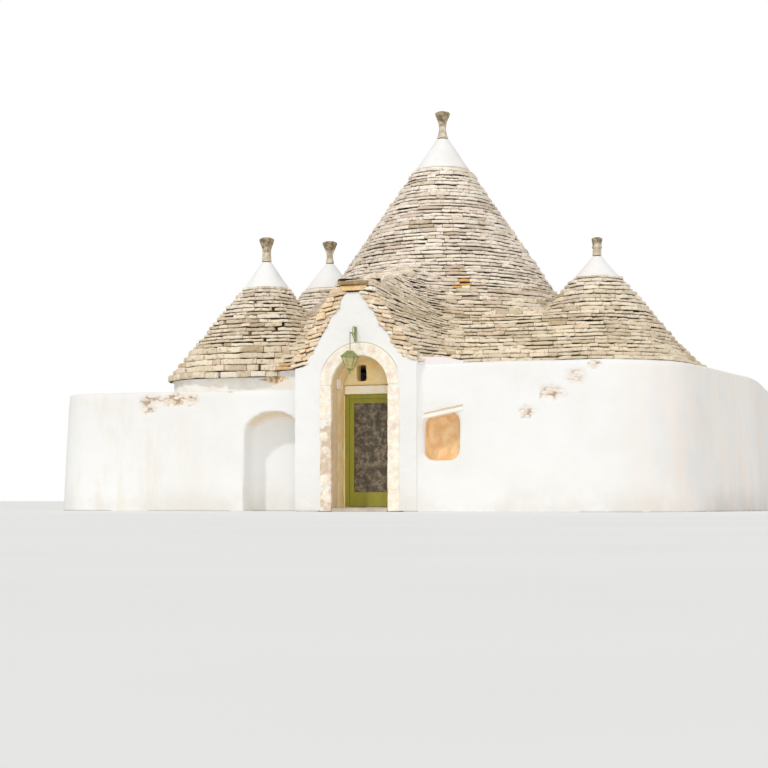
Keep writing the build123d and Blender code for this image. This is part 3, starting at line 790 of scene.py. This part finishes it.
def along(pairs, z):
    (z0, a), (z1, b) = pairs
    share = min(max((z - z0) / (z1 - z0), 0.0), 1.0)
    return a + (b - a) * share


def blended(a, b, softness):
    overlap = max(softness - abs(a - b), 0.0) / softness
    return min(a, b) - overlap * overlap * softness * 0.25


def rounded_box(x, y, middle, half, corner):
    dx = abs(x - middle[0]) - half[0] + corner
    dy = abs(y - middle[1]) - half[1] + corner
    return math.hypot(max(dx, 0.0), max(dy, 0.0)) + min(max(dx, dy), 0.0) - corner


def cone_distance(x, y, z, cone):
    centre, outline = cone
    if z < outline[0][1] - 0.01:
        return 9.0
    return math.hypot(x - centre[0], y - centre[1]) - radius_at(outline, z)


main_cone = (middle_of("main_cap"), main_outline)
right_cone = (middle_of("right_cap"), right_outline)
left_cone = (middle_of("left_cap"), left_outline)
back_cone = (middle_of("back_cap"), back_outline)
roof_cones = {"main": main_cone, "right": right_cone, "left": left_cone, "back": back_cone}


def apron_distance(x, y, z):
    shrink = (z - apron_z) * apron_slope + max(z - apron_shoulder_z, 0.0) * apron_top_run
    low = (apron_low[0], apron_low[1] + shrink)
    high = (apron_high[0] - shrink, apron_high[1])
    half = ((high[0] - low[0]) / 2, (high[1] - low[1]) / 2)
    if min(half) < 0.05:
        return 9.0
    corner = min(max(apron_corner - shrink, 0.05), min(half))
    box = rounded_box(x, y, ((low[0] + high[0]) / 2, (low[1] + high[1]) / 2), half, corner)
    run = (apron_inner[0] - apron_side[0], apron_inner[1] - apron_side[1])
    length = math.hypot(*run)
    across = ((x - apron_side[0] + shrink) * run[1] - (y - apron_side[1]) * run[0]) / length
    return max(box, across)


def porch_distance(x, y, z):
    share = min(max((y - porch_front_y) / (porch_back_y - porch_front_y), 0.0), 1.0)
    top = ridge_front_z + (ridge_back_z - ridge_front_z) * share
    rise = max((top - max(z, shoulder_z)) / (top - shoulder_z), 0.0)
    left = ridge_left_x + (shoulder_left_x - ridge_left_x) * rise
    right = ridge_right_x + (shoulder_right_x + porch_flare * share - ridge_right_x) * rise
    front_y = porch_front_y
    if z > ridge_front_z:
        climb = (z - ridge_front_z) / (ridge_back_z - ridge_front_z)
        front_y = ridge_start_y + (porch_back_y - ridge_start_y) * climb
    return max(left - x, x - right, front_y - y, y - porch_back_y)


def level_roof(x, y, z):
    distance = cone_distance(x, y, z, main_cone)
    distance = blended(distance, cone_distance(x, y, z, right_cone), valley_softness)
    distance = blended(distance, cone_distance(x, y, z, back_cone), valley_softness)
    return blended(distance, apron_distance(x, y, z), valley_softness)


def big_roof(x, y, z):
    return blended(level_roof(x, y, z), porch_distance(x, y, z), porch_softness)


def fallen(y, z):
    # The courses of the porch roof sink from its front towards the valley behind.
    back = min(max(y - porch_front_y, 0.0), fall_reach)
    return z - course_fall * max(z - shoulder_z, 0.0) * back


def falling_roof(x, y, z):
    return big_roof(x, y, fallen(y, z))


def level(y, z):
    return z


def left_roof(x, y, z):
    shrink = (z - left_outline[0][1]) * left_square_slope
    half = max(left_square_half - shrink, 0.05)
    corner = min(max(left_square_corner - shrink, 0.05), half)
    square = rounded_box(x, y, left_cone[0], (half, half), corner)
    return blended(cone_distance(x, y, z, left_cone), square, 0.10)


def slope_of(plan, x, y, z):
    step = 0.004
    gx = (plan(x + step, y, z) - plan(x - step, y, z)) / (2 * step)
    gy = (plan(x, y + step, z) - plan(x, y - step, z)) / (2 * step)
    return gx, gy


def pulled_on(plan, x, y, z):
    # Moves a point onto the outline, and gives it with the outward direction there.
    for _ in range(3):
        gx, gy = slope_of(plan, x, y, z)
        size = gx * gx + gy * gy
        if size < 1e-6:
            break
        off = plan(x, y, z)
        x -= off * gx / size
        y -= off * gy / size
    gx, gy = slope_of(plan, x, y, z)
    size = math.hypot(gx, gy) or 1.0
    return x, y, gx / size, gy / size


def halved(low, high, is_low, rounds):
    # The place between low and high where is_low stops being true.
    for _ in range(rounds):
        middle = (low + high) / 2
        if is_low(middle):
            low = middle
        else:
            high = middle
    return low


def first_point(plan, centre, bearing, reach, z):
    def spot(run):
        return centre[0] + run * math.cos(bearing), centre[1] + run * math.sin(bearing), z

    if plan(centre[0], centre[1], z) > 0:
        return None
    run = halved(0.0, reach, lambda run: plan(*spot(run)) <= 0, 24)
    return pulled_on(plan, *spot(run))


def walked(plan, start, z):
    # Follows the outline once round, as a list of (x, y, outward x, outward y).
    path = [start]
    x, y, nx, ny = start
    for count in range(2000):
        x, y, nx, ny = pulled_on(plan, x - ny * walk_step, y + nx * walk_step, z)
        path.append((x, y, nx, ny))
        if count > 8 and math.hypot(x - start[0], y - start[1]) < walk_step:
            return path
    return path


def loops_at(plan, seeds, z):
    loops = []
    for centre, bearing, reach, top in seeds:
        if z > top:
            continue
        start = first_point(plan, centre, bearing, reach, z)
        if start is None:
            continue
        points = [point for loop in loops for point in loop]
        if not any(math.hypot(start[0] - p[0], start[1] - p[1]) < walk_step * 2 for p in points):
            loops.append(walked(plan, start, z))
    return loops


class StoneHeap:
    """Vertices, faces and tones of many stones that become one mesh."""

    def __init__(self):
        self.points = []
        self.faces = []
        self.tones = []

    def add(self, rings, tone):
        base = len(self.points)
        width = len(rings[0])
        for ring in rings:
            self.points.extend(ring)
            self.tones.extend([tone] * width)
        for row in range(len(rings) - 1):
            for column in range(width - 1):
                a = base + row * width + column
                self.faces.append((a, a + width, a + width + 1, a + 1))
        last = base + (len(rings) - 1) * width
        self.faces.append(tuple(base + column for column in range(width)))
        self.faces.append(tuple(last + column for column in reversed(range(width))))

    def piece(self, name, paint, slot):
        mesh = bpy.data.meshes.new(name)
        mesh.from_pydata(self.points, [], self.faces)
        mark_points(mesh, "stone", self.tones)
        mesh.validate()
        return new_piece(name, mesh, paint)


def stone_tone(rng, where):
    stain = 0.5
    for middle, reach, value in stains:
        if (where - Vector(middle)).length < reach:
            stain = value
    patch = noise.noise(where * 0.9) * stone_tone_patch
    tone = min(max(rng.gauss(stone_tone_mean + patch, stone_tone_spread), 0.0), 1.0)
    return (tone, rng.random(), stain)


def lay_stone(heap, rng, stations, z, height, setback, bed, depth):
    count = len(stations)
    nose = rng.uniform(*stone_nose)
    joint = rng.uniform(*bed_joints)
    tilt = rng.uniform(-stone_wander, stone_wander)
    low = z + rng.uniform(0.0, stone_wander)
    rings = []
    for index, (x, y, nx, ny) in enumerate(stations):
        share = index / (count - 1)
        end = 1.0 if index in (0, count - 1) else 0.0
        out = nose + rng.uniform(-stone_wander, stone_wander) - 0.006 * end
        sag = stone_sag * noise.noise(Vector((x, y, z)) * 0.9) + bed(y, z) - z
        thick = bed(y, z + height) - bed(y, z) - joint
        base = low + sag + tilt * (share - 0.5) + rng.uniform(-0.005, 0.005) + 0.002 * end
        top = base + thick + rng.uniform(-stone_wander, 0.006) - 0.003 * end
        profile = [
            (-depth, base + 0.003), (out - 0.007, base), (out, base + thick * rng.uniform(0.12, 0.3)),
            (out - rng.uniform(0.0, 0.006), base + thick * 0.82), (out - 0.010 - setback * 0.15, top),
            (-depth, top + 0.004),
        ]
        rings.append([(x + nx * off, y + ny * off, up) for off, up in profile])
    middle = stations[count // 2]
    heap.add(rings, stone_tone(rng, Vector((middle[0], middle[1], z))))


def lay_verge_stones(heap, rng, z, height):
    # The ends of one course on both slopes of the porch gable.
    for side, slope in ((-1, gable_slopes[0:2]), (1, gable_slopes[2:4])):
        if not slope[0][0] - height < z < slope[1][0] + height:
            continue
        inner = along(slope, z + height) - side * rng.uniform(-0.02, 0.045)
        outer = along(slope, z) + side * (verge_stone_width + rng.uniform(-0.03, 0.03))
        cut = rng.uniform(*verge_split)
        middle = inner + (outer - inner) * cut
        if rng.random() < verge_split_chance:
            ends = [(inner, middle - side * joint_width), (middle, outer)]
        else:
            ends = [(inner, outer)]
        for near, far in ends:
            lay_verge_stone(heap, rng, side, inner, near, far, z, height)


def lay_verge_stone(heap, rng, side, inner, near, far, z, height):
    front_y = niche_front_y + rng.uniform(-0.034, 0.010)
    tilt = rng.uniform(-0.012, 0.018)
    thick = height * rng.uniform(0.72, 0.94)
    back = niche_front_y + verge_depth
    rings = []
    for share in verge_shares:
        x = near + (far - near) * share
        worn = 0.012 if share in (0.0, 1.0) else 0.0
        front = front_y + worn + rng.uniform(-stone_wander, stone_wander)
        low = z - verge_fall * abs(x - inner) - tilt * share + worn * 0.4
        low += rng.uniform(-0.005, 0.005)
        high = low + thick - worn * 0.8 + rng.uniform(-0.006, 0.004)
        rings.append([
            (x, back, low), (x, front + 0.008, low), (x, front, low + thick * 0.25),
            (x, front + 0.004, high - thick * 0.2), (x, front + 0.014, high), (x, back, high),
        ])
    if side > 0:
        rings.reverse()
    hue = rng.uniform(0.0, 0.6) + (0.40 if side < 0 else 0.0)
    heap.add(rings, (rng.uniform(0.0, 1.0), hue, 0.5))


def angle_between(first, second):
    return math.acos(min(max(first[2] * second[2] + first[3] * second[3], -1.0), 1.0))


def thinned(run, count):
    last = len(run) - 1
    return [run[round(index * last / (count - 1))] for index in range(count)]


def on_porch_face(y, z):
    # The gable and its verge stones close the front of the porch roof.
    return y < porch_front_y + porch_face_depth and z < gable_slopes[1][0] - porch_face_drop


def lay_course(rng, plan, loop, z, height, setback, lengths, pick_heap, hidden, bed):
    position = rng.randrange(len(loop) // 2 + 1)
    path = loop[position:] + loop[:position]
    start = 0
    while start < len(path) - 1:
        steps = max(2, round(rng.uniform(*lengths) / walk_step))
        stop = min(start + steps, len(path) - 1)
        while stop > start + 1 and angle_between(path[start], path[stop]) > turn_limit:
            stop -= 1
        run = path[start:stop + 1]
        middle = run[len(run) // 2]
        if not hidden(middle[0], middle[1], bed(middle[1], z)):
            count = min(max(3, len(run) // 2 + 1), 5)
            stations = shortened(thinned(run, count))
            heap = pick_heap(middle[0], middle[1], bed(middle[1], z))
            run_in = plan(middle[0], middle[1], z + height)
            depth = min(max(stone_depth, run_in + tail_cover), stone_depth_most)
            lay_stone(heap, rng, stations, z, height, setback, bed, depth)
        start = stop


def shortened(stations):
    # Opens the joint at both ends of a stone.
    result = list(stations)
    for end, inner in ((0, 1), (-1, -2)):
        x, y, nx, ny = stations[end]
        dx = stations[inner][0] - x
        dy = stations[inner][1] - y
        size = math.hypot(dx, dy) or 1.0
        cut = min(joint_width / 2, size * 0.3)
        result[end] = (x + dx / size * cut, y + dy / size * cut, nx, ny)
    return result


def surface_z(plan, x, y):
    # Height of the roof above a point of its plan.
    return halved(*saddle_search, lambda z: plan(x, y, z) < 0, 20)


def lay_saddle_stones(heap, first, second):
    # Flat stones over the low point between two cones.
    rng = random.Random(5)
    width, depth, thick = saddle_stone
    start = first[0].xy
    run = second[0].xy - start
    ahead = run.normalized()
    across = Vector((-ahead.y, ahead.x))
    shares = [0.25 + 0.5 * index / 40 for index in range(41)]
    lowest = min(shares, key=lambda share: surface_z(level_roof, *(start + run * share)))
    saddle = start + run * lowest
    for step in range(-3, 4):
        middle = saddle + across * step * width
        z = surface_z(level_roof, *middle) - thick * 0.6
        stations = []
        for share in (-0.5, 0.0, 0.5):
            place = middle + across * share * (width - joint_width) + ahead * depth / 2
            stations.append((place.x, place.y, ahead.x, ahead.y))
        lay_stone(heap, rng, stations, z, thick, 0.0, level, depth)


def course_heights(rng, bottom, top, pitch):
    levels = []
    z = bottom
    while z < top:
        height = pitch * rng.uniform(1 - course_wander, 1 + course_wander)
        levels.append((z, height))
        z += height
    return levels


def hidden_under(mine, other):
    # Where a stone of one roof lies under another roof or behind the gable.
    def hidden(x, y, z):
        covered = other(x, y, z) < mine(x, y, z) - region_overlap
        return covered or left_roof(x, y, z) < -roof_overlap or on_porch_face(y, z)

    return hidden


def hidden_left(x, y, z):
    return big_roof(x, y, z) < -roof_overlap or on_porch_face(y, z)


def lay_roof(rng, plan, seeds, levels, setback, lengths, pick_heap, hidden, bed=level, verge=None):
    for z, height in levels:
        if verge:
            lay_verge_stones(verge, rng, z, height)
        for loop in loops_at(plan, seeds, z):
            lay_course(rng, plan, loop, z, height, height * setback, lengths, pick_heap, hidden, bed)


def roof_stones(paint, verge_paint):
    rng = random.Random(11)
    heaps = {name: StoneHeap() for name in ("main", "right", "back", "porch", "left")}
    verge = StoneHeap()

    def pick(x, y, z):
        choices = {
            "main": cone_distance(x, y, z, main_cone),
            "right": min(cone_distance(x, y, z, right_cone), apron_distance(x, y, z)),
            "back": cone_distance(x, y, z, back_cone),
        }
        return heaps[min(choices, key=choices.get)]

    def always(heap):
        return lambda x, y, z: heap

    # Where each outline is looked for: centre, bearing, reach and highest course
    seeds = [
        (main_cone[0], math.radians(70), 6.0, main_outline[-1][1] - 0.02),
        (right_cone[0], math.radians(0), 3.5, right_outline[-1][1] - 0.02),
        (back_cone[0], math.radians(140), 4.0, back_outline[-1][1] - 0.02),
    ]
    porch_seeds = [(Vector((0.0, -0.5)), math.radians(270), 6.0, porch_top_level)]
    left_seeds = [(left_cone[0], math.radians(180), 3.0, left_outline[-1][1])]

    levels = course_heights(rng, first_course_z, main_outline[-1][1] - 0.03, course_pitch)
    hidden = hidden_under(level_roof, porch_distance)
    lay_roof(rng, big_roof, seeds, levels, course_setback, stone_lengths, pick, hidden, verge=verge)

    levels = course_heights(rng, first_course_z, porch_top_level, course_pitch)
    hidden = hidden_under(porch_distance, level_roof)
    sizes = (course_setback, porch_stone_lengths)
    lay_roof(rng, falling_roof, porch_seeds, levels, *sizes, always(heaps["porch"]), hidden, fallen)

    levels = course_heights(rng, left_outline[0][1], left_coarse_top_z, left_course_pitch)
    fine_start_z = levels[-1][0] + levels[-1][1]
    levels += course_heights(rng, fine_start_z, left_outline[-1][1] - 0.03, course_pitch)
    sizes = (left_course_setback, left_stone_lengths)
    lay_roof(rng, left_roof, left_seeds, levels, *sizes, always(heaps["left"]), hidden_left)

    lay_saddle_stones(heaps["main"], main_cone, right_cone)
    lay_saddle_stones(heaps["main"], main_cone, back_cone)
    for name, heap in heaps.items():
        heap.piece(name + "_roof_stones", paint, "roof_stone")
    verge.piece("verge_stones", verge_paint, "roof_stone")


def mortar_foot(paint):
    # Whitewashed mortar that fills the corner under the porch roof's right foot, its limewash greyed and
    # lilac as painted shade.
    heap = StoneHeap()
    rings = []
    for index in range(foot_steps + 1):
        share = index / foot_steps
        x = foot_start_x + (foot_end_x - foot_start_x) * share
        high = foot_top_z - (foot_top_z - apron_z - 0.01) * share * share
        wobble = 0.012 * noise.noise(Vector((x * 4.0, 0.0, 0.0)))
        front = foot_front_y + wobble - 0.11 * max(1 - share * 7, 0.0)
        back = foot_front_y + foot_depth
        rings.append([
            (x, back, apron_z - foot_bed), (x, front, apron_z - foot_bed), (x, front + 0.01, high - 0.03),
            (x, front + 0.05, high + wobble), (x, back, high + 0.02),
        ])
    heap.add(rings, (1.0, 1.0, 1.0))
    heap.piece("mortar_foot", paint, "white_plaster")


def cap_collar(name, cone, paint):
    # The ragged lower edge of the limewash, run over the last course.
    centre, outline = cone
    radius, z = outline[-1]
    heap = StoneHeap()
    rings = []
    for index in range(collar_steps + 1):
        turn = math.tau * (index % collar_steps) / collar_steps
        ahead = Vector((math.cos(turn), math.sin(turn), 0.0))
        ragged = noise.noise(ahead * 5.0 + Vector((radius, 0.0, z)))
        drop = collar_drop * (1.0 + 0.5 * ragged)
        profile = [
            (radius - 0.10, z + 0.05), (radius - 0.005, z + 0.03), (radius + 0.025, z - drop * 0.4),
            (radius + 0.030 + drop * 0.25, z - drop), (radius - 0.10, z - drop - 0.01),
        ]
        rings.append([(centre.x + ahead.x * off, centre.y + ahead.y * off, up) for off, up in profile])
    heap.add(rings, (1.0, 1.0, 1.0))
    piece = heap.piece(name + "_cap_collar", paint, "white_cap")
    piece.data.shade_smooth()


def bare_plate(paint):
    # A small blank plate on the left side of the porch.
    mesh = bpy.data.meshes.new("porch_plate")
    work = bmesh.new()
    bmesh.ops.create_cube(work, size=1.0)
    bmesh.ops.scale(work, vec=plate_size, verts=work.verts)
    bmesh.ops.translate(work, vec=plate_middle, verts=work.verts)
    bmesh.ops.bevel(work, geom=work.edges[:], offset=0.003, segments=2, affect="EDGES")
    work.to_mesh(mesh)
    work.free()
    new_piece("porch_plate", mesh, paint)


# Stage

def make_stage():
    bpy.ops.mesh.primitive_plane_add(size=floor_size, location=(0.0, 0.0, -floor_drop))
    ground = bpy.context.object
    ground.name = "studio_floor"
    paint = Paint("studio_floor", 0.9, 0.1)
    paint.clouds((0.90, 0.89, 0.87), (0.88, 0.87, 0.85), (0.5, 3.0), (0.3, 0.7))
    ground.data.materials.append(paint.material)


def make_world():
    world = bpy.data.worlds.new("studio")
    world.use_nodes = True
    tree = world.node_tree
    tree.nodes.clear()
    output = tree.nodes.new("ShaderNodeOutputWorld")
    fill = tree.nodes.new("ShaderNodeBackground")
    fill.inputs["Color"].default_value = sky_colour
    fill.inputs["Strength"].default_value = sky_strength
    backdrop = tree.nodes.new("ShaderNodeBackground")
    backdrop.inputs["Color"].default_value = (1.0, 1.0, 1.0, 1.0)
    backdrop.inputs["Strength"].default_value = 1.0
    rays = tree.nodes.new("ShaderNodeLightPath")
    seen = tree.nodes.new("ShaderNodeMath")
    seen.operation = "MAXIMUM"
    tree.links.new(rays.outputs["Is Camera Ray"], seen.inputs[0])
    tree.links.new(rays.outputs["Is Transmission Ray"], seen.inputs[1])
    mix = tree.nodes.new("ShaderNodeMixShader")
    tree.links.new(seen.outputs[0], mix.inputs[0])
    tree.links.new(fill.outputs[0], mix.inputs[1])
    tree.links.new(backdrop.outputs[0], mix.inputs[2])
    tree.links.new(mix.outputs[0], output.inputs["Surface"])
    bpy.context.scene.world = world


def make_lamps():
    for name, strength, spread_deg, colour, heading in lamps:
        lamp = bpy.data.lights.new(name, "SUN")
        lamp.energy = strength
        lamp.angle = math.radians(spread_deg)
        lamp.color = colour
        sun = bpy.data.objects.new(name, lamp)
        sun.rotation_euler = Vector(heading).to_track_quat("-Z", "Y").to_euler()
        bpy.context.scene.collection.objects.link(sun)


def make_camera():
    bearing = math.radians(camera_bearing)
    right = Vector((math.cos(bearing), math.sin(bearing), 0.0))
    ahead = Vector((-math.sin(bearing), math.cos(bearing), 0.0))
    lens = bpy.data.cameras.new("camera")
    camera = bpy.data.objects.new("camera", lens)
    camera.location = -right * camera_side - ahead * camera_distance + Vector((0.0, 0.0, camera_height))
    camera.rotation_euler = ahead.to_track_quat("-Z", "Y").to_euler()
    lens.shift_y = (horizon_row - picture_width / 2) / picture_width
    lens.sensor_width = 36.0
    lens.lens = focal_pixels / picture_width * lens.sensor_width
    lens.clip_end = 1000.0
    bpy.context.scene.collection.objects.link(camera)
    bpy.context.scene.camera = camera


def paint_nodes(names, paint):
    for name in names:
        data = nodes[name].data
        data.materials.clear()
        data.materials.append(paint.material)


def soften_edges(names, width):
    for name in names:
        bevel = nodes[name].modifiers.new("worn_edges", "BEVEL")
        bevel.width = width
        bevel.segments = 2
        bevel.limit_method = "ANGLE"


def dress():
    limewash = limewash_paint()
    caps = cap_paint("cap_limewash", cap_limewash)
    dressed = dressed_stone_paint()
    wall_skin(limewash)
    weathered("gable_plaster", limewash, ["arch_ring", "jamb_stones"])
    weathered("porch_inner_wall", porch_plaster_paint())
    weathered("porch_arch", dressed)
    weathered("porch_jambs", dressed)
    weathered("niche_lintel", niche_lintel_paint())
    weathered("porch_lintel", lintel_paint())
    weathered("porch_top_slab", porch_top_paint("slab_stone", (0.46, 0.32, 0.18), (0.30, 0.20, 0.11)))
    weathered("porch_top_corbels", corbel_paint())
    pinnacle = pinnacle_paint()
    for name in roof_cones:
        weathered(name + "_white_cap", caps)
        finial(name + "_finial", pinnacle)
    paint_nodes(["left_drum", "back_drum", "main_drum"], drum_paint())
    roofs = [name for name in nodes if name.endswith("_roof") or name.startswith("main_roof")]
    paint_nodes(roofs, roof_core_paint("roof_core", 0.0))
    paint_nodes(["porch_roof"], roof_core_paint("porch_roof_core", porch_roof_white_z))
    paint_nodes(["floor", "porch_floor", "threshold"], floor_stone_paint())
    paint_nodes(["door_frame", "door_leaf"], green_door_paint())
    paint_nodes(["door_glass"], door_glass_paint())
    paint_nodes(["hinge_posts", "hinge_knuckles"], hinge_paint())
    paint_nodes(["door_handle"], handle_paint())
    paint_nodes(["lantern_bracket", "lantern_frame"], lantern_paint())
    paint_nodes(["lantern_glass"], lantern_glass_paint())
    soften_edges(["door_frame", "door_leaf"], door_edge)
    soften_edges(["lantern_frame"], lantern_edge)
    roof_stones(roof_stone_paint(), verge_stone_paint())
    collars = cap_paint("collar_limewash", collar_limewash)
    for name, cone in roof_cones.items():
        cap_collar(name, cone, collars)
    mortar_foot(cap_paint("shaded_limewash", shaded_limewash))
    bare_plate(plate_paint())


dress()
make_stage()
make_world()
make_lamps()
make_camera()
bpy.context.scene.view_settings.view_transform = "Standard"
